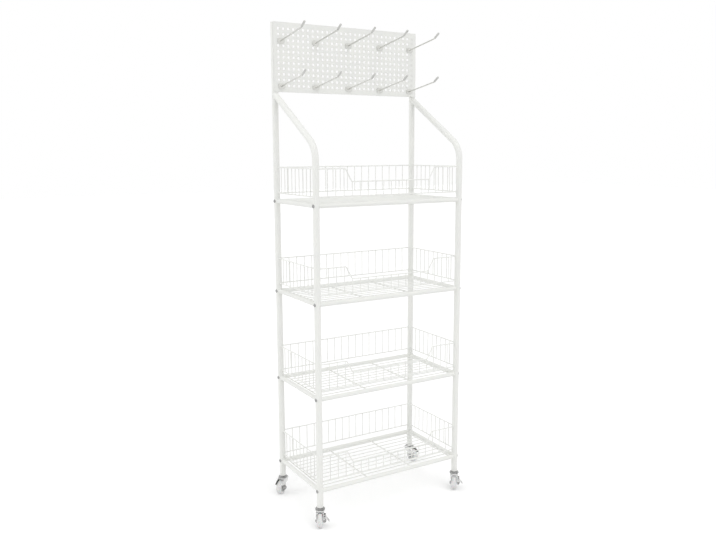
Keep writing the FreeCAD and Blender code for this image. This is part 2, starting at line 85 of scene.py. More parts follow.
post_r = size("rear_post_right").x / 2
post_x = middle("rear_post_right").x
post_y = middle("rear_post_right").y
side_rail_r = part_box("side_rails")[1].x - post_x
shelf_rail_r = size("shelf_1_rails").z / 2
shelves = [1, 2, 3, 4]
level = {n: middle("shelf_%d_rails" % n).z for n in shelves}
print("post radius %.1f mm, shelf levels %s" % (post_r / MM, [round(z, 3) for z in level.values()]))

# %% [markdown]
# Shader nodes are easier to read when each one is added in a single call that names its inputs. These
# helpers only place and link nodes. Sockets that share a name, as in Math and Mix, are reached by
# number. Most values of a noise lie in NOISE_BAND, so that span is what a ramp stretches to a full
# change.

# %% Helpers for shader nodes
MIX_FIRST, MIX_SECOND, MIX_RESULT = 6, 7, 2
NOISE_BAND = (0.3, 0.7)


def put(tree, socket, value):
    """Sets one input: another node's output is linked to it, anything else is written as its value."""
    if isinstance(value, bpy.types.NodeSocket):
        tree.links.new(value, socket)
    else:
        socket.default_value = value


def add(tree, kind, settings=None, **inputs):
    """Adds a shader node, sets its properties and its named inputs."""
    made = tree.nodes.new("ShaderNode" + kind)
    for key, value in (settings or {}).items():
        setattr(made, key, value)
    for key, value in inputs.items():
        put(tree, made.inputs[key.replace("_", " ")], value)
    return made


def math_node(tree, operation, first, second=0.0):
    """A Math node; returns its value."""
    made = tree.nodes.new("ShaderNodeMath")
    made.operation = operation
    put(tree, made.inputs[0], first)
    put(tree, made.inputs[1], second)
    return made.outputs[0]


def mix_colours(tree, factor, first, second):
    """A colour Mix node; returns its colour."""
    made = tree.nodes.new("ShaderNodeMix")
    made.data_type = "RGBA"
    put(tree, made.inputs[0], factor)
    put(tree, made.inputs[MIX_FIRST], first)
    put(tree, made.inputs[MIX_SECOND], second)
    return made.outputs[MIX_RESULT]


def ramp(tree, value, low, high, to_low=0.0, to_high=1.0):
    """A Map Range node; returns its value."""
    made = add(tree, "MapRange", Value=value, From_Min=low, From_Max=high, To_Min=to_low, To_Max=to_high)
    return made.outputs[0]


def noise(tree, where, scale, detail=2.0, roughness=0.5):
    """A Noise Texture; returns its value."""
    made = add(tree, "TexNoise", Vector=where, Scale=scale, Detail=detail, Roughness=roughness)
    return made.outputs[0]


# %% [markdown]
# A node group is a small recipe with named inputs and outputs, built once and placed in many materials.
# The sockets of a group live on its interface. A group here never holds a shader: it puts out only
# masks, heights, tones and normals that change over the surface, and the material mixes them into its
# own shader.

# %% A helper that opens a new node group
def new_group(name, inputs, outputs):
    """An empty shader group with its sockets; returns the group, its input node and its output node."""
    group = bpy.data.node_groups.new(name, "ShaderNodeTree")
    for label, kind, value in inputs:
        socket = group.interface.new_socket(name=label, in_out="INPUT", socket_type=kind)
        socket.default_value = value
    for label, kind in outputs:
        group.interface.new_socket(name=label, in_out="OUTPUT", socket_type=kind)
    return group, group.nodes.new("NodeGroupInput"), group.nodes.new("NodeGroupOutput")


def use_group(tree, group, **inputs):
    """Places a group in a material and sets its inputs; returns its outputs."""
    made = tree.nodes.new("ShaderNodeGroup")
    made.node_tree = group
    for key, value in inputs.items():
        put(tree, made.inputs[key.replace("_", " ")], value)
    return made.outputs


NUMBER, VECTOR = "NodeSocketFloat", "NodeSocketVector"

# %% [markdown]
# Powder coat is plastic dust that melts onto the steel in an oven. It flows, but not quite flat: under
# a lamp the skin has a faint dimpling called orange peel, about a millimetre across. Two noises of
# different size, added, give that height. The same effect is used on the tubes, the wires and the
# sheet, so it is a group.

# %% Group: orange peel
FINE_TIMES, FINE_SHARE, MOTTLE_TIMES = 3.7, 0.3, 0.03


def orange_peel_group():
    group, given, out = new_group("orange peel", [("Scale", NUMBER, 800.0)],
                                  [("Height", NUMBER), ("Mottle", NUMBER)])
    where = add(group, "TexCoord").outputs["Object"]
    scale = given.outputs["Scale"]
    dimples = noise(group, where, scale, detail=1.0)
    fine = noise(group, where, math_node(group, "MULTIPLY", scale, FINE_TIMES), detail=1.0)
    height = math_node(group, "ADD", dimples, math_node(group, "MULTIPLY", fine, FINE_SHARE))
    mottle = noise(group, where, math_node(group, "MULTIPLY", scale, MOTTLE_TIMES), detail=3.0)
    group.links.new(height, out.inputs["Height"])
    group.links.new(mottle, out.inputs["Mottle"])
    return group


orange_peel = orange_peel_group()
print("group:", orange_peel.name)

# %% [markdown]
# Dust settles on what faces up and stays off what faces down. The surface normal tells which is which,
# and a soft noise keeps the dust from lying in an even film.

# %% Group: settled dust
FACING_UP, DUST_BAND, DUST_SCALE = (0.35, 0.95), (0.35, 0.7), 55.0


def settled_dust_group():
    group, given, out = new_group("settled dust", [("Amount", NUMBER, 0.3)], [("Mask", NUMBER)])
    normal = add(group, "NewGeometry").outputs["Normal"]
    facing_up = ramp(group, add(group, "SeparateXYZ", Vector=normal).outputs["Z"], *FACING_UP)
    where = add(group, "TexCoord").outputs["Object"]
    patches = ramp(group, noise(group, where, DUST_SCALE, detail=4.0, roughness=0.65), *DUST_BAND)
    mask = math_node(group, "MULTIPLY", facing_up, patches)
    group.links.new(math_node(group, "MULTIPLY", mask, given.outputs["Amount"]), out.inputs["Mask"])
    return group


settled_dust = settled_dust_group()
print("group:", settled_dust.name)

# %% [markdown]
# Sharp edges are where a coat runs thin and where plating is rubbed bright. The Bevel node gives the
# normal that the surface would have with a small round on its edges. Where that differs from the true
# normal, there is an edge: the difference is the mask, and the rounded normal itself takes the knife
# look off a cut sheet.

# %% Group: soft edges
BEVEL_SAMPLES, EDGE_BAND = 4, (0.995, 0.88)


def soft_edges_group():
    group, given, out = new_group("soft edges", [("Radius", NUMBER, 0.6 * MM)],
                                  [("Normal", VECTOR), ("Edge", NUMBER)])
    bevel = add(group, "Bevel", {"samples": BEVEL_SAMPLES}, Radius=given.outputs["Radius"])
    rounded = bevel.outputs["Normal"]
    true_normal = add(group, "NewGeometry").outputs["Normal"]
    agree = group.nodes.new("ShaderNodeVectorMath")
    agree.operation = "DOT_PRODUCT"
    group.links.new(rounded, agree.inputs[0])
    group.links.new(true_normal, agree.inputs[1])
    group.links.new(rounded, out.inputs["Normal"])
    group.links.new(ramp(group, agree.outputs["Value"], *EDGE_BAND), out.inputs["Edge"])
    return group


soft_edges = soft_edges_group()
print("group:", soft_edges.name)

# %% [markdown]
# Zinc plating grows in small crystals that catch the light one by one, with cloudy patches where the
# bath worked longer. Voronoi cells give the crystals, and a slow noise gives the clouds.

# %% Group: plated bloom
CLOUD_SCALE, GRAIN_SHARE = 70.0, 0.14


def plated_bloom_group():
    group, given, out = new_group("plated bloom", [("Grain", NUMBER, 900.0)],
                                  [("Tone", NUMBER), ("Height", NUMBER)])
    where = add(group, "TexCoord").outputs["Object"]
    cells = add(group, "TexVoronoi", Vector=where, Scale=given.outputs["Grain"])
    grain = add(group, "SeparateColor", Color=cells.outputs["Color"]).outputs["Red"]
    clouds = noise(group, where, CLOUD_SCALE, detail=4.0, roughness=0.6)
    tone = math_node(group, "ADD", math_node(group, "MULTIPLY", grain, GRAIN_SHARE),
                     math_node(group, "MULTIPLY", clouds, 1 - GRAIN_SHARE))
    group.links.new(tone, out.inputs["Tone"])
    group.links.new(cells.outputs["Distance"], out.inputs["Height"])
    return group


plated_bloom = plated_bloom_group()
print("group:", plated_bloom.name)

# %% [markdown]
# Painted shade in the corners: where a surface is closed in, between a plate and a leg, under a flange,
# round a bolt, the colour is darkened to stand in for the shade that falls there. Ambient occlusion
# measures how closed-in a point is, a patchy noise breaks it up, and that is the mask.

# %% Group: painted shade in corners
CLOSED_SAMPLES, CLOSED_BAND = 6, (0.95, 0.35)
SHADE_PATCH_SCALE, SHADE_PATCH_RANGE = 240.0, (0.6, 1.0)


# The mask of painted shade: closed-in places, broken into patches.
def painted_corner_shade_group():
    group, given, out = new_group("painted corner shade", [("Reach", NUMBER, 6 * MM)], [("Mask", NUMBER)])
    near = add(group, "AmbientOcclusion", {"samples": CLOSED_SAMPLES}, Distance=given.outputs["Reach"])
    closed = ramp(group, near.outputs["AO"], *CLOSED_BAND)
    where = add(group, "TexCoord").outputs["Object"]
    patches = noise(group, where, SHADE_PATCH_SCALE, detail=4.0, roughness=0.6)
    patches = ramp(group, patches, *NOISE_BAND, *SHADE_PATCH_RANGE)
    group.links.new(math_node(group, "MULTIPLY", closed, patches), out.inputs["Mask"])
    return group


painted_corner_shade = painted_corner_shade_group()
print("group:", painted_corner_shade.name)

# %% [markdown]
# Moulded plastic and rubber copy the mould they came from: a fine stipple, and a slow drift in tone
# where the melt cooled unevenly. One group serves the tyres, the wheel centres, the end caps and the
# hook tips.

# %% Group: moulded skin
DRIFT_SCALE = 45.0


def moulded_skin_group():
    group, given, out = new_group("moulded skin", [("Stipple", NUMBER, 1500.0)],
                                  [("Height", NUMBER), ("Drift", NUMBER)])
    where = add(group, "TexCoord").outputs["Object"]
    stipple = add(group, "TexVoronoi", Vector=where, Scale=given.outputs["Stipple"]).outputs["Distance"]
    drift = noise(group, where, DRIFT_SCALE, detail=3.0)
    group.links.new(stipple, out.inputs["Height"])
    group.links.new(drift, out.inputs["Drift"])
    return group


moulded_skin = moulded_skin_group()
print("group:", moulded_skin.name)

# %% [markdown]
# Now the finishes. Each is a function that opens a material, places the groups it needs and feeds them
# into the material's own shader. Numbers that are the same all over are written on the shader itself.

# %% A helper that opens a material
finishes = {}


def new_finish(slot, **constants):
    """A material with its shader; constants are written on the shader's sockets."""
    material = bpy.data.materials.new(slot)
    material.use_nodes = True
    shader = material.node_tree.nodes["Principled BSDF"]
    for key, value in constants.items():
        shader.inputs[key.replace("_", " ")].default_value = value
    finishes[slot] = material
    return material.node_tree, shader


def set_bump(tree, shader, height, distance, normal=None):
    """Feeds a height into the shader's normal, over a rounded normal if there is one."""
    bump = add(tree, "Bump", Strength=1.0, Distance=distance, Height=height)
    if normal is not None:
        tree.links.new(normal, bump.inputs["Normal"])
    tree.links.new(bump.outputs["Normal"], shader.inputs["Normal"])


# %% [markdown]
# The white coat on the tubes, wires and sheet. The photograph shows a soft, slightly warm white with no
# hard shine, so the base is a pale warm grey-white, not pure white, and the roughness is that of satin.
# Edges run a little greyer, where the coat is thin, and dust greys the tops.

# %% Finish: white powder coat
COAT_WHITE = (0.810, 0.815, 0.783, 1.0)
COAT_COOL = (0.797, 0.803, 0.783, 1.0)
COAT_THIN = (0.738, 0.743, 0.722, 1.0)
COAT_DUST = (0.70, 0.69, 0.66, 1.0)
COAT_BAND, COAT_ROUGH = (0.35, 0.68), (0.36, 0.46)
COAT_THIN_SHARE, DUST_ROUGHENS = 0.5, 0.5


def white_powder_coat():
    tree, shader = new_finish("white_powder_coat", IOR=1.5, Specular_IOR_Level=0.45)
    peel = use_group(tree, orange_peel, Scale=800.0)
    edge = use_group(tree, soft_edges, Radius=0.7 * MM)
    dust = use_group(tree, settled_dust, Amount=0.07)["Mask"]
    thin = math_node(tree, "MULTIPLY", edge["Edge"], COAT_THIN_SHARE)
    colour = mix_colours(tree, ramp(tree, peel["Mottle"], *COAT_BAND), COAT_WHITE, COAT_COOL)
    colour = mix_colours(tree, thin, colour, COAT_THIN)
    colour = mix_colours(tree, dust, colour, COAT_DUST)
    tree.links.new(colour, shader.inputs["Base Color"])
    rough = ramp(tree, peel["Mottle"], *NOISE_BAND, *COAT_ROUGH)
    tree.links.new(math_node(tree, "ADD", rough, math_node(tree, "MULTIPLY", dust, DUST_ROUGHENS)),
                   shader.inputs["Roughness"])
    set_bump(tree, shader, peel["Height"], distance=0.06 * MM, normal=edge["Normal"])


white_powder_coat()
print("finish: white powder coat")

# %% [markdown]
# Bolts, screws and axles are plain zinc-plated steel, dulled by handling. They read as the darkest
# points on the rack. The crystals of the plating vary the tone and the roughness, and rubbed edges are
# lighter.

# %% Finish: zinc fasteners
FASTENER_DARK = (0.29, 0.29, 0.288, 1.0)
FASTENER_LIGHT = (0.45, 0.45, 0.447, 1.0)
FASTENER_RUBBED = (0.60, 0.60, 0.60, 1.0)
FASTENER_ROUGH, RUBBED_SHARE = (0.28, 0.48), 0.7
BLOOM_BAND = (0.25, 0.75)


def zinc_fastener():
    tree, shader = new_finish("zinc_fastener", Metallic=1.0)
    bloom = use_group(tree, plated_bloom, Grain=3200.0)
    edge = use_group(tree, soft_edges, Radius=0.4 * MM)
    rubbed = math_node(tree, "MULTIPLY", edge["Edge"], RUBBED_SHARE)
    colour = mix_colours(tree, ramp(tree, bloom["Tone"], *NOISE_BAND), FASTENER_DARK, FASTENER_LIGHT)
    colour = mix_colours(tree, rubbed, colour, FASTENER_RUBBED)
    tree.links.new(colour, shader.inputs["Base Color"])
    tree.links.new(ramp(tree, bloom["Tone"], *BLOOM_BAND, *FASTENER_ROUGH), shader.inputs["Roughness"])
    set_bump(tree, shader, bloom["Height"], distance=0.03 * MM, normal=edge["Normal"])


zinc_fastener()
print("finish: zinc fasteners")

# %% [markdown]
# The hooks are drawn wire with a bright plate over it. Drawing leaves fine lines along the wire, so the
# noise is stretched along the rod's own direction, which is nearly -Y. At the base plate and its weld the
# plating is rougher, and its colour is painted a flat grey there as shade near the panel; that place is
# told by the distance from the panel's face.

# %% Finish: plated hook wire
HOOK_BRIGHT = (0.72, 0.72, 0.692, 1.0)
HOOK_SHADE = (0.59, 0.59, 0.567, 1.0)
# A flat grey painted over the base plate and weld as shade near the panel.
HOOK_PLATE_PAINTED_SHADE = (0.67, 0.67, 0.643, 1.0)
DRAWN, LINE_SCALE = (1.0, 0.04, 1.0), 2600.0
ROOT_START, ROOT_FULL, ROOT_SHADE_SHARE = 10 * MM, 2 * MM, 0.7
HOOK_ROUGH, ROOT_ROUGHENS = (0.2, 0.32), 0.12
panel_face_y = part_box("pegboard_panel")[0].y


def hook_wire():
    tree, shader = new_finish("hook_wire", Metallic=1.0)
    where = add(tree, "TexCoord").outputs["Object"]
    stretched = add(tree, "Mapping", Vector=where, Scale=DRAWN).outputs["Vector"]
    lines = noise(tree, stretched, LINE_SCALE, detail=3.0)
    clouds = use_group(tree, plated_bloom, Grain=3600.0)["Tone"]
    depth = add(tree, "SeparateXYZ", Vector=where).outputs["Y"]
    root = ramp(tree, depth, panel_face_y - ROOT_START, panel_face_y - ROOT_FULL)
    colour = mix_colours(tree, ramp(tree, clouds, *NOISE_BAND), HOOK_SHADE, HOOK_BRIGHT)
    # Painted shade: near the panel's face the colour is pulled towards that flat grey.
    colour = mix_colours(tree, math_node(tree, "MULTIPLY", root, ROOT_SHADE_SHARE), colour, HOOK_PLATE_PAINTED_SHADE)
    tree.links.new(colour, shader.inputs["Base Color"])
    rough = ramp(tree, lines, *NOISE_BAND, *HOOK_ROUGH)
    tree.links.new(math_node(tree, "ADD", rough, math_node(tree, "MULTIPLY", root, ROOT_ROUGHENS)),
                   shader.inputs["Roughness"])
    edge = use_group(tree, soft_edges, Radius=0.5 * MM)
    set_bump(tree, shader, lines, distance=0.02 * MM, normal=edge["Normal"])


hook_wire()
print("finish: plated hook wire")

# %% [markdown]
# The tips of the hooks are dipped in soft vinyl so that they do not scratch a hand. It is darker than
# the wire, a little waxy, and its skin is smooth with a faint drift in tone.

# %% Finish: vinyl hook tips
TIP_GREY = (0.50, 0.50, 0.485, 1.0)
TIP_PALE = (0.60, 0.60, 0.58, 1.0)
TIP_ROUGH, TIP_WAX = (0.32, 0.46), (0.1, 0.3)


def hook_tip_plastic():
    tree, shader = new_finish("hook_tip_plastic", IOR=1.5, Coat_Roughness=0.25)
    skin = use_group(tree, moulded_skin, Stipple=900.0)
    dust = use_group(tree, settled_dust, Amount=0.35)["Mask"]
    colour = mix_colours(tree, ramp(tree, skin["Drift"], *NOISE_BAND), TIP_GREY, TIP_PALE)
    tree.links.new(mix_colours(tree, dust, colour, COAT_DUST), shader.inputs["Base Color"])
    tree.links.new(ramp(tree, skin["Drift"], *NOISE_BAND, *TIP_ROUGH), shader.inputs["Roughness"])
    tree.links.new(ramp(tree, skin["Drift"], *NOISE_BAND, *TIP_WAX), shader.inputs["Coat Weight"])
    set_bump(tree, shader, skin["Height"], distance=0.03 * MM)


hook_tip_plastic()
print("finish: vinyl hook tips")

# %% [markdown]
# The caster forks are pressed from sheet and bright-zinc plated, so they mirror the studio more sharply
# than the bolts do. Pressing thins and polishes the bends, so the edges are lighter. Road dust dulls
# what faces up, and the closed-in corners are darkened with painted shade.

# %% Finish: bright zinc casters
FORK_DARK = (0.59, 0.59, 0.588, 1.0)
FORK_LIGHT = (0.77, 0.77, 0.768, 1.0)
FORK_EDGE = (0.84, 0.84, 0.84, 1.0)
# The dark tone painted into the fork's closed-in corners as shade.
FORK_PAINTED_SHADE = (0.17, 0.17, 0.166, 1.0)
FORK_BAND, FORK_ROUGH = (0.32, 0.68), (0.14, 0.3)
FORK_EDGE_SHARE, ROAD_DUST_ROUGHENS = 0.8, 0.6


def caster_zinc():
    tree, shader = new_finish("caster_zinc", Metallic=1.0)
    bloom = use_group(tree, plated_bloom, Grain=2600.0)
    edge = use_group(tree, soft_edges, Radius=0.9 * MM)
    dust = use_group(tree, settled_dust, Amount=0.12)["Mask"]
    # Painted shade: ambient occlusion darkens the fork's closed-in corners towards that dark tone.
    corner_shade_mask = use_group(tree, painted_corner_shade, Reach=8 * MM)["Mask"]
    polished = math_node(tree, "MULTIPLY", edge["Edge"], FORK_EDGE_SHARE)
    colour = mix_colours(tree, ramp(tree, bloom["Tone"], *FORK_BAND), FORK_DARK, FORK_LIGHT)
    colour = mix_colours(tree, polished, colour, FORK_EDGE)
    colour = mix_colours(tree, dust, colour, COAT_DUST)
    tree.links.new(mix_colours(tree, corner_shade_mask, colour, FORK_PAINTED_SHADE), shader.inputs["Base Color"])
    rough = ramp(tree, bloom["Tone"], *BLOOM_BAND, *FORK_ROUGH)
    tree.links.new(math_node(tree, "ADD", rough, math_node(tree, "MULTIPLY", dust, ROAD_DUST_ROUGHENS)),
                   shader.inputs["Roughness"])
    set_bump(tree, shader, bloom["Height"], distance=0.04 * MM, normal=edge["Normal"])


caster_zinc()
print("finish: bright zinc casters")

# %% [markdown]
# The tyres are a pale, soft thermoplastic, almost as light as the frame. A rolling tyre picks up floor
# dirt on its tread and keeps its sides clean, so a grey-brown film grows with the distance from the
# axle. That distance is measured in the wheel's own coordinates, and the tyre carries it as a stored
# attribute.

# %% Finish: pale tyre
TYRE_PALE = (0.77, 0.77, 0.765, 1.0)
TYRE_SHADE = (0.70, 0.70, 0.695, 1.0)
TYRE_DIRT = (0.46, 0.45, 0.43, 1.0)
SCUFF_SCALE, SCUFF_BAND = 260.0, (0.42, 0.72)
TREAD_BAND, DIRT_SHARE, TYRE_ROUGH = (0.90, 0.995), 0.45, (0.42, 0.62)


def tyre_grey():
    tree, shader = new_finish("tyre_grey", IOR=1.48, Subsurface_Scale=2 * MM, Subsurface_Weight=0.08)
    skin = use_group(tree, moulded_skin, Stipple=1600.0)
    reach = add(tree, "Attribute", {"attribute_name": "reach"}).outputs["Fac"]
    where = add(tree, "TexCoord").outputs["Object"]
    scuffs = ramp(tree, noise(tree, where, SCUFF_SCALE, detail=5.0, roughness=0.7), *SCUFF_BAND)
    tread = ramp(tree, reach, *TREAD_BAND)
    dirt = math_node(tree, "MULTIPLY", math_node(tree, "MULTIPLY", tread, scuffs), DIRT_SHARE)
    colour = mix_colours(tree, ramp(tree, skin["Drift"], *NOISE_BAND), TYRE_PALE, TYRE_SHADE)
    tree.links.new(mix_colours(tree, dirt, colour, TYRE_DIRT), shader.inputs["Base Color"])
    tree.links.new(ramp(tree, scuffs, 0.0, 1.0, *TYRE_ROUGH), shader.inputs["Roughness"])
    set_bump(tree, shader, math_node(tree, "ADD", skin["Height"], scuffs), distance=0.04 * MM)


tyre_grey()
print("finish: pale tyre")

# %% [markdown]
# The wheel centres, the white plugs in the tube ends and the pads behind the panel are harder
# mouldings. They share one recipe with two sets of tones: smooth, faintly stippled, with dust where
# they face up.

# %% Finish: moulded plastics
HUB_TONES = ((0.70, 0.705, 0.70, 1.0), (0.62, 0.625, 0.62, 1.0))
PLUG_TONES = ((0.80, 0.80, 0.775, 1.0), (0.75, 0.752, 0.73, 1.0))
HUB_ROUGH, PLUG_ROUGH = (0.3, 0.44), (0.4, 0.54)


def moulded_plastic(slot, tones, rough):
    tree, shader = new_finish(slot, IOR=1.49)
    skin = use_group(tree, moulded_skin, Stipple=1900.0)
    edge = use_group(tree, soft_edges, Radius=0.5 * MM)
    dust = use_group(tree, settled_dust, Amount=0.3)["Mask"]
    colour = mix_colours(tree, ramp(tree, skin["Drift"], *NOISE_BAND), *tones)
    tree.links.new(mix_colours(tree, dust, colour, COAT_DUST), shader.inputs["Base Color"])
    tree.links.new(ramp(tree, skin["Drift"], *NOISE_BAND, *rough), shader.inputs["Roughness"])
    set_bump(tree, shader, skin["Height"], distance=0.03 * MM, normal=edge["Normal"])


moulded_plastic("hub_plastic", HUB_TONES, HUB_ROUGH)
moulded_plastic("white_plastic", PLUG_TONES, PLUG_ROUGH)
print("finishes:", sorted(finishes))

# %% [markdown]
# Every node of the construction names the finish it takes. Its mesh stays as it is, and only its
# material slot changes.

# %% Dress the construction
for name, node in frame["nodes"].items():
    node.data.materials.clear()
    node.data.materials.append(finishes[slot_of[name]])
print("dressed", len(frame["nodes"]), "nodes")

# %% [markdown]
# New pieces are closed shells of points and faces. A shell is a row of rings with skin between them:
# capped at both ends, or joined end to end for a ring such as a tyre. Several shells can make one
# piece, as the ribs of a wheel do. The piece then names its body, so that it moves with it, and its
# finish.

# %% Helpers for new pieces
MOULDED_ANGLE, NUT_ANGLE, WELD_ANGLE = 0.6, 0.5, 1.2


def full_turn(steps):
    """Angles spaced evenly round a circle."""
    return [2 * math.pi * i / steps for i in range(steps)]


def mirrored(half):
    """An outline from its upper half: that half, then the same points below, in turn."""
    return half + [(r, -y) for r, y in reversed(half)]


def skin_of(rows, loop=False):
    """A closed shell through rings of points; its ends are capped, or joined when loop is set."""
    count = len(rows[0])
    points = [point for row in rows for point in row]
    faces = []
    for i in range(len(rows) if loop else len(rows) - 1):
        j = (i + 1) % len(rows)
        for k in range(count):
            m = (k + 1) % count
            faces.append([i * count + k, i * count + m, j * count + m, j * count + k])
    if not loop:
        last = (len(rows) - 1) * count
        faces.append(list(reversed(range(count))))
        faces.append([last + k for k in range(count)])
    return points, faces


def make_piece(name, shells, body, slot, sharp_angle=MOULDED_ANGLE):
    """One object from several closed shells, riding on a body, in a finish."""
    mesh = bpy.data.meshes.new(name)
    points, faces = [], []
    for shell_points, shell_faces in shells:
        start = len(points)
        points += shell_points
        faces += [[start + index for index in face] for face in shell_faces]
    mesh.from_pydata(points, [], faces)
    work = bmesh.new()
    work.from_mesh(mesh)
    bmesh.ops.recalc_face_normals(work, faces=work.faces)
    work.to_mesh(mesh)
    work.free()
    mesh.shade_smooth()
    mesh.set_sharp_from_angle(angle=sharp_angle)
    mesh.materials.append(finishes[slot])
    piece = bpy.data.objects.new(name, mesh)
    bpy.context.scene.collection.objects.link(piece)
    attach(piece, body)
    return piece


def arc(centre, radius, start, end, steps):
    """Points of a round stretch of a profile, from one angle to another, in degrees."""
    angles = [math.radians(start + (end - start) * i / steps) for i in range(steps + 1)]
    return [(centre[0] + radius * math.cos(a), centre[1] + radius * math.sin(a)) for a in angles]


def turned(profile, steps, place, loop):
    """A turned shell. The profile is (radius, along) about the local Y axis."""
    rows = [[place @ Vector((r * math.cos(a), y, r * math.sin(a))) for r, y in profile]
            for a in full_turn(steps)]
    return skin_of(rows if loop else list(zip(*rows)), loop)


# %% [markdown]
# Each wheel gets its own place: the axle's middle, with the local Y axis along the axle and the local X
# axis the way the caster trails. Both come from the joint that the wheel rolls on.

# %% Places of the wheels
def wheel_place(name):
    joint = joints["wheel_roll_" + name]
    across = Vector(joint["axis"]).normalized()
    along = across.cross(Z_AXIS)
    return Matrix.Translation(joint["pos_m"]) @ Matrix((along, across, Z_AXIS)).transposed().to_4x4()


wheel_r = size("tyre_front_left").z / 2
print("wheels of radius %.1f mm at %s" % (wheel_r / MM, casters))

# %% [markdown]
# A moulded tyre is not a plain ring: the tread is slightly crowned, the shoulders are round, a thin
# line shows where the mould halves met, and a raised bead runs round each side where it grips the
# wheel. All of that is one profile turned about the axle.

# %% Tyres
TYRE_HALF = 10 * MM
TYRE_SHOULDER = 5 * MM
TYRE_BORE = 18 * MM
TYRE_CROWN = 0.35 * MM
TYRE_SEAM = 0.14 * MM
BEAD_OUT, BEAD_RISE = 1.6 * MM, 0.35 * MM
BORE_LEAD_IN, BORE_LEAD_OUT = 0.8 * MM, 0.5 * MM
CROWN_PLACES, SEAM_PLACE = (0.8, 0.5, 0.2, 0.09), 0.05
TYRE_STEPS = 96


def tyre_profile():
    """Half of the outline from the bore to the crown, mirrored."""
    tread_r = wheel_r - TYRE_SEAM - TYRE_CROWN
    tread_half = TYRE_HALF - TYRE_SHOULDER
    half = [(TYRE_BORE, TYRE_HALF - BORE_LEAD_IN), (TYRE_BORE + BORE_LEAD_OUT, TYRE_HALF)]
    half += arc((TYRE_BORE + BEAD_OUT, TYRE_HALF), BEAD_RISE, start=180, end=0, steps=6)
    half += arc((tread_r - TYRE_SHOULDER, tread_half), TYRE_SHOULDER, start=90, end=8, steps=9)
    half += [(tread_r + TYRE_CROWN * (1 - t * t), t * tread_half) for t in CROWN_PLACES]
    half.append((wheel_r, SEAM_PLACE * tread_half))
    return mirrored(half)


def add_tyre(name):
    place = wheel_place(name)
    piece = make_piece("tyre_tread_" + name, [turned(tyre_profile(), TYRE_STEPS, place, loop=True)],
                       "wheel_" + name, "tyre_grey")
    home = place.inverted()
    reach = piece.data.attributes.new("reach", "FLOAT", "POINT")
    for vertex, item in zip(piece.data.vertices, reach.data):
        local = home @ vertex.co
        item.value = math.hypot(local.x, local.z) / wheel_r
    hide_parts("tyre_" + name)
    return piece


tyres = [add_tyre(name) for name in casters]
print("tyres:", [len(piece.data.vertices) for piece in tyres], "points each")

# %% [markdown]
# The wheel centre is a thin moulding: a rim under the tyre, a web in the middle and a boss round the
# axle, stiffened by radial ribs on both sides. The core is turned, and the ribs are small tapered
# blocks set into it.

# %% Wheel centres
HUB_BORE = 4.05 * MM
HUB_BOSS = 7.5 * MM
HUB_BOSS_HALF = 10.75 * MM
HUB_WEB_HALF = 4.5 * MM
HUB_RIM = 15.0 * MM
HUB_RIM_HALF = 9.4 * MM
RIB_COUNT = 6
RIB_HALF, RIB_SHOULDER_HALF, RIB_TOP_HALF = 0.9 * MM, 0.675 * MM, 0.36 * MM
RIB_TOP, RIB_LEAD, RIB_SINK = 8.2 * MM, 0.5 * MM, 0.8 * MM
HUB_STEPS = 64


def hub_profile():
    """Half of the outline from the bore to the rim, mirrored; the edges have a small lead."""
    lead = 0.6 * MM
    boss = [(HUB_BORE, HUB_BOSS_HALF - lead), (HUB_BORE + lead, HUB_BOSS_HALF),
            (HUB_BOSS - lead, HUB_BOSS_HALF), (HUB_BOSS, HUB_BOSS_HALF - lead)]
    web = [(HUB_BOSS, HUB_WEB_HALF + lead), (HUB_BOSS + lead, HUB_WEB_HALF),
           (HUB_RIM - lead, HUB_WEB_HALF), (HUB_RIM, HUB_WEB_HALF + lead)]
    rim = [(HUB_RIM, HUB_RIM_HALF - lead), (HUB_RIM + lead, HUB_RIM_HALF),
           (TYRE_BORE - lead, HUB_RIM_HALF), (TYRE_BORE, HUB_RIM_HALF - lead)]
    return mirrored(boss + web + rim)


def hub_rib(place, angle, side):
    """A tapered rib from the boss to the rim, on one side of the web."""
    turn = place @ Matrix.Rotation(angle, 4, "Y")
    inner, outer = HUB_BOSS - RIB_SINK, HUB_RIM + RIB_SINK
    rows = []
    for height, half in ((HUB_WEB_HALF - RIB_LEAD, RIB_HALF), (RIB_TOP - RIB_LEAD, RIB_SHOULDER_HALF),
                         (RIB_TOP, RIB_TOP_HALF)):
        rows.append([turn @ Vector((r, side * height, z)) for r, z in
                     ((inner, -half), (outer, -half), (outer, half), (inner, half))])
    return skin_of(rows)


def add_hub(name):
    place = wheel_place(name)
    shells = [turned(hub_profile(), HUB_STEPS, place, loop=True)]
    shells += [hub_rib(place, angle, side) for angle in full_turn(RIB_COUNT) for side in (-1, 1)]
    piece = make_piece("wheel_centre_" + name, shells, "wheel_" + name, "hub_plastic")
    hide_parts("hub_" + name)
    return piece


hubs = [add_hub(name) for name in casters]
print("wheel centres:", len(hubs), "with", RIB_COUNT, "ribs a side")

# %% [markdown]
# The axle is a bolt through the fork: a low domed head on one side, a nut on the other. A real nut is
# turned before its flats are cut, so its corners are chamfered, and it has a round collar. A bar with
# six sides is simply a turned shape of six steps. The tail of the bolt shows its thread, made as rings.

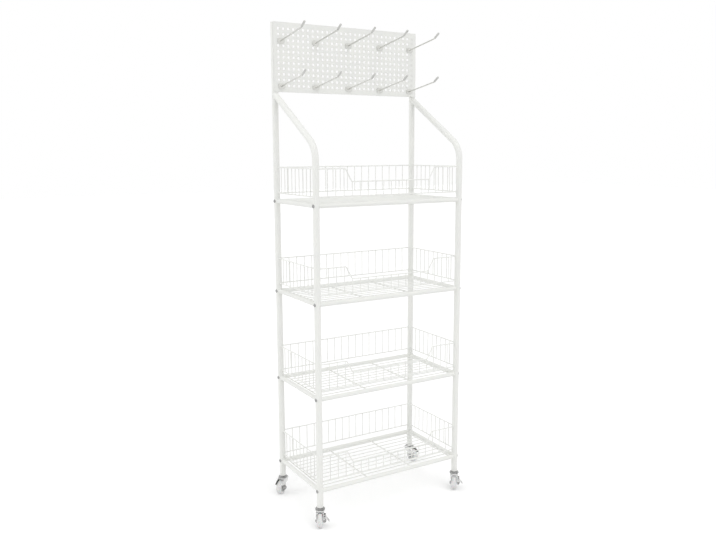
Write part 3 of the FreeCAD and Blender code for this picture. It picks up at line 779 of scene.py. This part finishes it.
# %% Axle bolts and nuts
AXLE_R = 4 * MM
FORK_HALF = 13.7 * MM
HEAD_R, HEAD_HEIGHT, HEAD_RIM = 6.5 * MM, 2.6 * MM, 0.8 * MM
HEAD_ANGLES, HEAD_CORE_R, HEAD_FLAT_R = (20, 40, 60, 80), 2.275 * MM, 1.95 * MM
NUT_END = FORK_HALF + 6.5 * MM
HEX_END = NUT_END - 1.2 * MM
HEX_R, HEX_FACE_R, HEX_LEAD = 7.5 * MM, 6.45 * MM, 0.7 * MM
COLLAR_R, COLLAR_SINK, COLLAR_EDGE, COLLAR_LEAD = 5.6 * MM, 1 * MM, 0.3 * MM, 0.4 * MM
THREAD_PITCH, THREAD_DEPTH, THREAD_SINK = 1.25 * MM, 0.4 * MM, 0.5 * MM
SHANK_SINK, SHANK_START_R, TAIL_R = 1 * MM, 3.2 * MM, 2.4 * MM
AXLE_END = 21.7 * MM
HEAD_STEPS, HEX_STEPS, SHANK_STEPS = 32, 6, 24
HEX = [(HEX_R, FORK_HALF), (HEX_R, HEX_END - HEX_LEAD), (HEX_FACE_R, HEX_END)]
COLLAR = [(COLLAR_R, FORK_HALF + COLLAR_SINK), (COLLAR_R, NUT_END - COLLAR_EDGE),
          (COLLAR_R - COLLAR_LEAD, NUT_END + COLLAR_LEAD)]


def head_profile():
    """A low round head with a small flat at its middle."""
    rim_y, rise = -FORK_HALF - HEAD_RIM, HEAD_HEIGHT - HEAD_RIM
    outline = [(HEAD_R, -FORK_HALF), (HEAD_R, rim_y)]
    for a in map(math.radians, HEAD_ANGLES):
        outline.append((HEAD_CORE_R + (HEAD_R - HEAD_CORE_R) * math.cos(a), rim_y - rise * math.sin(a)))
    return outline + [(HEAD_FLAT_R, -FORK_HALF - HEAD_HEIGHT)]


def shank_profile():
    """A plain shank, then thread rings on the tail."""
    profile = [(SHANK_START_R, -FORK_HALF - SHANK_SINK), (AXLE_R, -FORK_HALF),
               (AXLE_R, NUT_END - SHANK_SINK)]
    y = NUT_END - THREAD_SINK
    while y + THREAD_PITCH < AXLE_END:
        profile += [(AXLE_R - THREAD_DEPTH, y), (AXLE_R, y + THREAD_PITCH / 2)]
        y += THREAD_PITCH
    return profile + [(AXLE_R - THREAD_DEPTH, y), (TAIL_R, AXLE_END)]


def add_axle(name):
    place = wheel_place(name)
    shells = [turned(profile, steps, place, loop=False) for profile, steps in
              ((head_profile(), HEAD_STEPS), (HEX, HEX_STEPS), (COLLAR, SHANK_STEPS),
               (shank_profile(), SHANK_STEPS))]
    piece = make_piece("axle_set_" + name, shells, "swivel_" + name, "zinc_fastener",
                       sharp_angle=NUT_ANGLE)
    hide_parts("axle_" + name)
    return piece


axles = [add_axle(name) for name in casters]
print("axles:", len(axles))

# %% [markdown]
# The toe plate of a brake has a few raised bars so that a shoe does not slip off it. They are thin
# round bars pressed half into the plate, and they ride on the brake's own body.

# %% Grip bars on the brake levers
GRIP_R, GRIP_SIDES, GRIP_MARGIN = 0.8 * MM, 10, 1.5 * MM
GRIP_PLACES = (0.4, 0.62, 0.84)
KNEE = Vector((0, 21.2 * MM, 10.0 * MM))
TOE = Vector((0, 30.7 * MM, -2.5 * MM))
TOE_THICK = 2.4 * MM
TOE_OUT = X_AXIS.cross(TOE - KNEE).normalized() * TOE_THICK
KNEE_HALF, TOE_HALF = 7.6 * MM, 6.0 * MM


def round_bar(start, end, radius):
    """A round bar with domed ends, whose rings are given by their angles from the bar's end."""
    along = (end - start).normalized()
    side = along.orthogonal().normalized()
    up = along.cross(side)
    rows = []
    for base, angles in ((start, (-80, -45, 0)), (end, (0, 45, 80))):
        for a in map(math.radians, angles):
            r, push = radius * math.cos(a), radius * math.sin(a)
            rows.append([base + along * push + (side * math.cos(t) + up * math.sin(t)) * r
                         for t in full_turn(GRIP_SIDES)])
    return skin_of(rows)


def add_grips(name):
    place = wheel_place(name)
    shells = []
    for share in GRIP_PLACES:
        foot = KNEE.lerp(TOE, share) + TOE_OUT
        half = KNEE_HALF + (TOE_HALF - KNEE_HALF) * share - GRIP_MARGIN
        shells.append(round_bar(place @ (foot - X_AXIS * half), place @ (foot + X_AXIS * half), GRIP_R))
    return make_piece("brake_grip_" + name, shells, "brake_" + name, "caster_zinc")


grips = [add_grips(name) for name in casters if "brake_press_" + name in joints]
print("grip bars on", len(grips), "brake levers")

# %% [markdown]
# The side rails and the sloping tubes are welded to the posts. A weld bead follows the saddle line
# where one tube meets the other, and it is rippled, because the welder's arc steps along it. The saddle
# comes from the two radii: at every angle round the bar, the seam lies where the bar's skin reaches the
# post's skin.

# %% Helper: a weld bead round a seam
BEAD_STEPS = 72
BEAD_SIDES = 8
BEAD_RIPPLE, RIPPLE_PITCH, FEWEST_RIPPLES = 0.16, 1.1 * MM, 12


def weld_bead(centre, axis, leave, bar_r, post_radius, bead_r, offset=0.0):
    """A bead where a bar that leaves along one direction meets a round post with the given axis."""
    level_way = (leave - axis * leave.dot(axis)).normalized()
    side = axis.cross(level_way)
    upright = side.cross(leave)
    ripples = max(FEWEST_RIPPLES, round(2 * math.pi * bar_r / RIPPLE_PITCH))
    rows = []
    for t in full_turn(BEAD_STEPS):
        across, lift = bar_r * math.sin(t), bar_r * math.cos(t)
        chord = math.sqrt(max(post_radius ** 2 - (across + offset) ** 2, 0.0))
        reach = (chord - lift * upright.dot(level_way)) / leave.dot(level_way)
        seam = centre + side * (across + offset) + upright * lift + leave * reach
        outward = side * math.sin(t) + upright * math.cos(t)
        swell = bead_r * (1 + BEAD_RIPPLE * math.sin(ripples * t))
        rows.append([seam + (outward * math.cos(b) + leave * math.sin(b)) * swell
                     for b in full_turn(BEAD_SIDES)])
    return skin_of(rows, loop=True)


# %% [markdown]
# The beads of the frame are one piece: both ends of every side rail, and the top of each sloping tube,
# which runs from the bend in the front post to the rear post.

# %% Weld beads on the tube frame
BEAD_R, BRACE_BEAD_R = 1.5 * MM, 1 * MM
BRACE_BEND_Z, BRACE_TOP_Z = 1.287, 1.4705
BRACE_SEAT = 0.985


def frame_beads():
    shells = []
    for side in (-1, 1):
        for z in level.values():
            for depth in (-1, 1):
                foot = Vector((side * post_x, depth * post_y, z))
                shells.append(weld_bead(foot, Z_AXIS, Y_AXIS * -depth, side_rail_r, post_r, BEAD_R))
        top = Vector((side * post_x, post_y, BRACE_TOP_Z))
        bend = Vector((side * post_x, -post_y, BRACE_BEND_Z))
        slope = (bend - top).normalized()
        shells.append(weld_bead(top, Z_AXIS, slope, post_r * BRACE_SEAT, post_r, BRACE_BEAD_R))
    return make_piece("frame_weld_beads", shells, "rack", "white_powder_coat", sharp_angle=WELD_ANGLE)


beads = frame_beads()
print("frame beads:", len(beads.data.vertices), "points")

# %% [markdown]
# The wires of a shelf are joined by resistance welding: two wires are pressed together between
# electrodes and a current melts them where they cross. What is left is a small squashed swelling. Each
# is a flattened pebble on the crossing, and all the pebbles of one grille make one piece.

# %% Helper: a spot weld
PEBBLE_RINGS, PEBBLE_SIDES = (-72, -36, 0, 36, 72), 8


def pebble(centre, radii):
    """A small closed swelling with three radii along X, Y and Z."""
    rows = []
    for a in map(math.radians, PEBBLE_RINGS):
        flat, rise = math.cos(a), radii[2] * math.sin(a)
        rows.append([centre + Vector((radii[0] * flat * math.cos(t), radii[1] * flat * math.sin(t), rise))
                     for t in full_turn(PEBBLE_SIDES)])
    return skin_of(rows)


# %% [markdown]
# On a deck the wires lie across two bars and two end wires, and the bars themselves are welded to the
# front and rear rails.

# %% Welds of the decks
DECK_GAPS = 11
CROSSBAR_X, CROSSBAR_R = 93 * MM, 2.5 * MM
END_WIRE_R = 2 * MM
END_WIRE_RISE = 0.5 * MM
DECK_CROSSING_RISE = 2.2 * MM
DECK_SPOT_SHARE, DECK_SPOT_WIDE, DECK_SPOT_HIGH = 0.85, 2 * MM, 1.1 * MM
DECK_BEAD_R = 0.8 * MM
end_wire_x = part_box("shelf_1_deck")[1].x - END_WIRE_R


def deck_welds(n):
    shells = []
    bars = ((CROSSBAR_X, CROSSBAR_R, 0.0), (end_wire_x, END_WIRE_R, END_WIRE_RISE))
    for x, bar_r, rise in [(side * x, r, z) for x, r, z in bars for side in (-1, 1)]:
        for i in range(1, DECK_GAPS):
            y = post_y * (2 * i / DECK_GAPS - 1)
            shells.append(pebble(Vector((x, y, level[n] + DECK_CROSSING_RISE)),
                                 (bar_r * DECK_SPOT_SHARE, DECK_SPOT_WIDE, DECK_SPOT_HIGH)))
        for depth in (-1, 1):
            rail = Vector((x, depth * post_y, level[n]))
            shells.append(weld_bead(rail, X_AXIS, Y_AXIS * -depth, bar_r, shelf_rail_r, DECK_BEAD_R,
                                    offset=rise * -depth))
    return make_piece("deck_welds_%d" % n, shells, "rack", "white_powder_coat", sharp_angle=WELD_ANGLE)


decks = [deck_welds(n) for n in shelves]
print("deck welds:", [len(piece.data.vertices) for piece in decks])

# %% [markdown]
# On a guard every upright bar meets the top and the bottom wire. The places of the bars follow the
# clear width between the posts, divided evenly. The front guard's top wire dips in the middle, so its
# upper welds follow it.

# %% Welds of the guards
GUARD_LOW, GUARD_TOP, DIP_TOP = 29 * MM, 119 * MM, 76 * MM
DIP_LOW_HALF, DIP_TOP_HALF = 156 * MM, 180 * MM
LONG_GAPS, SHORT_GAPS = 18, 10
SPOT_R = 2.15 * MM
SPOT_LONG, SPOT_HIGH = SPOT_R * 1.1, SPOT_R * 1.15


def dip_height(x):
    """Height of the front guard's top wire above the rail."""
    share = (abs(x) - DIP_LOW_HALF) / (DIP_TOP_HALF - DIP_LOW_HALF)
    return DIP_TOP + (GUARD_TOP - DIP_TOP) * min(max(share, 0.0), 1.0)


def guard_welds(n):
    long_clear, short_clear = post_x - post_r, post_y - post_r
    shells = []
    for i in range(1, LONG_GAPS):
        x = long_clear * (2 * i / LONG_GAPS - 1)
        for y, high in ((post_y, GUARD_TOP), (-post_y, dip_height(x))):
            shells += [pebble(Vector((x, y, level[n] + z)), (SPOT_LONG, SPOT_R, SPOT_HIGH))
                       for z in (GUARD_LOW, high)]
    for i in range(1, SHORT_GAPS):
        y = short_clear * (2 * i / SHORT_GAPS - 1)
        for x in (-post_x, post_x):
            shells += [pebble(Vector((x, y, level[n] + z)), (SPOT_R, SPOT_LONG, SPOT_HIGH))
                       for z in (GUARD_LOW, GUARD_TOP)]
    return make_piece("guard_welds_%d" % n, shells, "rack", "white_powder_coat", sharp_angle=WELD_ANGLE)


guards = [guard_welds(n) for n in shelves]
print("guard welds:", [len(piece.data.vertices) for piece in guards])

# %% [markdown]
# A hook's rod is welded to its base plate with one neat ring. The rods leave the plates nearly square,
# so a plain ring round each root is enough.

# %% Weld rings on the hooks
HOOK_R = 2.5 * MM
HOOK_PLATE = 2 * MM
HOOK_PLATE_HALF = 9 * MM
RING_R, RING_STEPS = 0.9 * MM, 32
hook_nodes = [name for name in frame["nodes"] if name.startswith(("hook_upper_", "hook_lower_"))]


def hook_rings():
    shells = []
    for name in hook_nodes:
        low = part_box(name)[0]
        root = Vector((middle(name).x, panel_face_y - HOOK_PLATE, low.z + HOOK_PLATE_HALF))
        ring = []
        for t in full_turn(RING_STEPS):
            outward = X_AXIS * math.cos(t) + Z_AXIS * math.sin(t)
            ring.append([root + outward * (HOOK_R + RING_R * math.cos(b)) - Y_AXIS * RING_R * math.sin(b)
                         for b in full_turn(BEAD_SIDES)])
        shells.append(skin_of(ring, loop=True))
    return make_piece("hook_weld_rings", shells, "rack", "hook_wire", sharp_angle=WELD_ANGLE)


rings = hook_rings()
print("weld rings on", len(hook_nodes), "hooks,", len(rings.data.vertices), "points")

# %% [markdown]
# The panel lies against the rear posts. In the photograph the left-hand column of holes is open and the
# right-hand one is closed, and what closes it cannot be seen. As a guess, the right post gets thin pads
# that keep the sheet from rattling, with square studs that snap into the holes. The pads are short,
# because the hooks' prongs and the panel's tabs need the places between them.

# %% Pads behind the panel
PAD_SPANS = ((39, 64), (76, 168), (192.2, 198.3), (209.8, 226))
PAD_INNER, PAD_OUTER = 14.6 * MM, 5.5 * MM
PAD_FRONT, PAD_THICK = 1.25 * MM, 0.9 * MM
PAD_ROUND, PAD_BEVEL, CORNER_STEPS = 1.5 * MM, 0.2 * MM, 4
HOLE_PITCH, OUTER_COLUMN, FIRST_ROW = 19.15 * MM, 14.5, 22 * MM
STUD_ROWS = (1, 2, 3, 4, 5, 6, 7, 9, 10)
STUD_HALF, STUD_FRONT, STUD_ROUND = 3.92 * MM, 0.1 * MM, 0.3 * MM


def pad_shell(low, high, corner=PAD_ROUND):
    """A thin strip with rounded corners and a small bevel round both faces."""
    rows = []
    for y, inset in ((low.y, PAD_BEVEL), (low.y + PAD_BEVEL, 0), (high.y - PAD_BEVEL, 0),
                     (high.y, PAD_BEVEL)):
        ring = []
        for quarter in range(4):
            x = low.x + corner if quarter in (0, 3) else high.x - corner
            z = low.z + corner if quarter in (0, 1) else high.z - corner
            for step in range(CORNER_STEPS + 1):
                t = math.radians(180 + 90 * (quarter + step / CORNER_STEPS))
                outward = X_AXIS * math.cos(t) + Z_AXIS * math.sin(t)
                ring.append(Vector((x, y, z)) + outward * (corner - inset))
        rows.append(ring)
    return skin_of(rows)


def panel_pads():
    foot_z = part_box("pegboard_panel")[0].z
    front_y = panel_face_y + PAD_FRONT
    shells = []
    for low, high in PAD_SPANS:
        shells.append(pad_shell(Vector((post_x - PAD_INNER, front_y, foot_z + low * MM)),
                                Vector((post_x - PAD_OUTER, front_y + PAD_THICK, foot_z + high * MM))))
    for row in STUD_ROWS:
        x, z = OUTER_COLUMN * HOLE_PITCH, foot_z + FIRST_ROW + row * HOLE_PITCH
        shells.append(pad_shell(Vector((x - STUD_HALF, panel_face_y + STUD_FRONT, z - STUD_HALF)),
                                Vector((x + STUD_HALF, front_y + PAD_BEVEL, z + STUD_HALF)), STUD_ROUND))
    return make_piece("panel_pads", shells, "rack", "white_plastic")


pads = panel_pads()
print("panel pads:", len(pads.data.polygons), "faces")

# %% [markdown]
# The studio is a white sweep. The floor's colour is plain pale, and to the camera it gets just enough
# glow to reach white where no shadow falls, so the rack keeps its soft shadow. The glow is seen by the
# camera and by mirrors only, and it lights nothing.

# %% Floor
FLOOR_SIZE = 40.0
FLOOR_PALE = (0.88, 0.88, 0.88, 1.0)
FLOOR_ROUGH, FLOOR_GLOW = 0.9, 0.15
WHITE = (1.0, 1.0, 1.0, 1.0)


def seen_directly(tree):
    """One for rays from the camera, from mirrors and through glass, nought for the light's own rays."""
    path = add(tree, "LightPath").outputs
    seen = math_node(tree, "MAXIMUM", path["Is Camera Ray"], path["Is Glossy Ray"])
    return math_node(tree, "MAXIMUM", seen, path["Is Transmission Ray"])


def studio_floor():
    tree, shader = new_finish("studio_floor", Base_Color=FLOOR_PALE, Roughness=FLOOR_ROUGH,
                              Specular_IOR_Level=0.0, Emission_Color=WHITE)
    glow = math_node(tree, "MULTIPLY", seen_directly(tree), FLOOR_GLOW)
    tree.links.new(glow, shader.inputs["Emission Strength"])
    half = FLOOR_SIZE / 2
    corners = [(-half, -half, 0), (half, -half, 0), (half, half, 0), (-half, half, 0)]
    mesh = bpy.data.meshes.new("studio_floor")
    mesh.from_pydata(corners, [], [(0, 1, 2, 3)])
    mesh.materials.append(finishes["studio_floor"])
    floor = bpy.data.objects.new("studio_floor", mesh)
    bpy.context.scene.collection.objects.link(floor)


studio_floor()
print("floor placed")

# %% [markdown]
# The light is soft from all round. One broad sun is the key from above and in front, a weak fill comes
# straight from the front and a side light from the left, so that a round tube looks even and no inner
# face falls dark. Suns light near and far floor alike, so the sweep stays even, and the level is set so
# that a colour renders about as it is written. To the camera and to mirrors the surroundings are plain
# white.

# %% Light
SKY_TOP, SKY_SIDE = 0.88, 0.66
SUNS = {"key_sun": (0.7, 50.0, Vector((0.10, -0.62, 1.0))),
        "fill_sun": (0.16, 25.0, Vector((-0.05, -0.95, 0.25))),
        "side_sun": (0.60, 40.0, Vector((-1.0, 0.30, 0.45)))}


def studio_light():
    world = bpy.data.worlds.new("studio_sky")
    world.use_nodes = True
    tree = world.node_tree
    way = add(tree, "TexCoord").outputs["Generated"]
    height = add(tree, "SeparateXYZ", Vector=way).outputs["Z"]
    sky = ramp(tree, height, 0.0, 1.0, SKY_SIDE, SKY_TOP)
    seen = seen_directly(tree)
    kept = math_node(tree, "MULTIPLY", sky, math_node(tree, "SUBTRACT", 1.0, seen))
    backdrop = tree.nodes["Background"].inputs
    tree.links.new(math_node(tree, "ADD", kept, seen), backdrop["Strength"])
    backdrop["Color"].default_value = WHITE
    bpy.context.scene.world = world
    for name, (strength, angle, toward) in SUNS.items():
        lamp = bpy.data.lights.new(name, "SUN")
        lamp.energy = strength
        lamp.angle = math.radians(angle)
        sun = bpy.data.objects.new(name, lamp)
        sun.rotation_euler = toward.to_track_quat("Z", "Y").to_euler()
        bpy.context.scene.collection.objects.link(sun)


studio_light()
bpy.context.scene.view_settings.view_transform = "Standard"
print("light set")

# %% [markdown]
# The camera stands where the photographer stood. Its place and turn were worked out from the posts:
# their heights, widths and lean in the picture fix the lens and the view. Yaw turns it right of +Y,
# pitch tips it down, and a small roll levels the picture as it was taken.

# %% Camera
CAMERA_AT = Vector((-1.3984, -2.3012, 1.2766))
YAW, PITCH, ROLL = math.radians(30.463), math.radians(-9.084), math.radians(-0.252)
LENS, SENSOR = 37.65, 36.0


def photo_camera():
    look = Vector((math.cos(PITCH) * math.sin(YAW), math.cos(PITCH) * math.cos(YAW), math.sin(PITCH)))
    level_right = Vector((math.cos(YAW), -math.sin(YAW), 0))
    level_up = level_right.cross(look)
    right = level_right * math.cos(ROLL) + level_up * math.sin(ROLL)
    up = level_up * math.cos(ROLL) - level_right * math.sin(ROLL)
    data = bpy.data.cameras.new("photo_camera")
    data.sensor_fit = "HORIZONTAL"
    data.sensor_width = SENSOR
    data.lens = LENS
    camera = bpy.data.objects.new("photo_camera", data)
    camera.matrix_world = Matrix.Translation(CAMERA_AT) @ Matrix((right, up, -look)).transposed().to_4x4()
    bpy.context.scene.collection.objects.link(camera)
    bpy.context.scene.camera = camera


photo_camera()
print("camera at", tuple(CAMERA_AT))
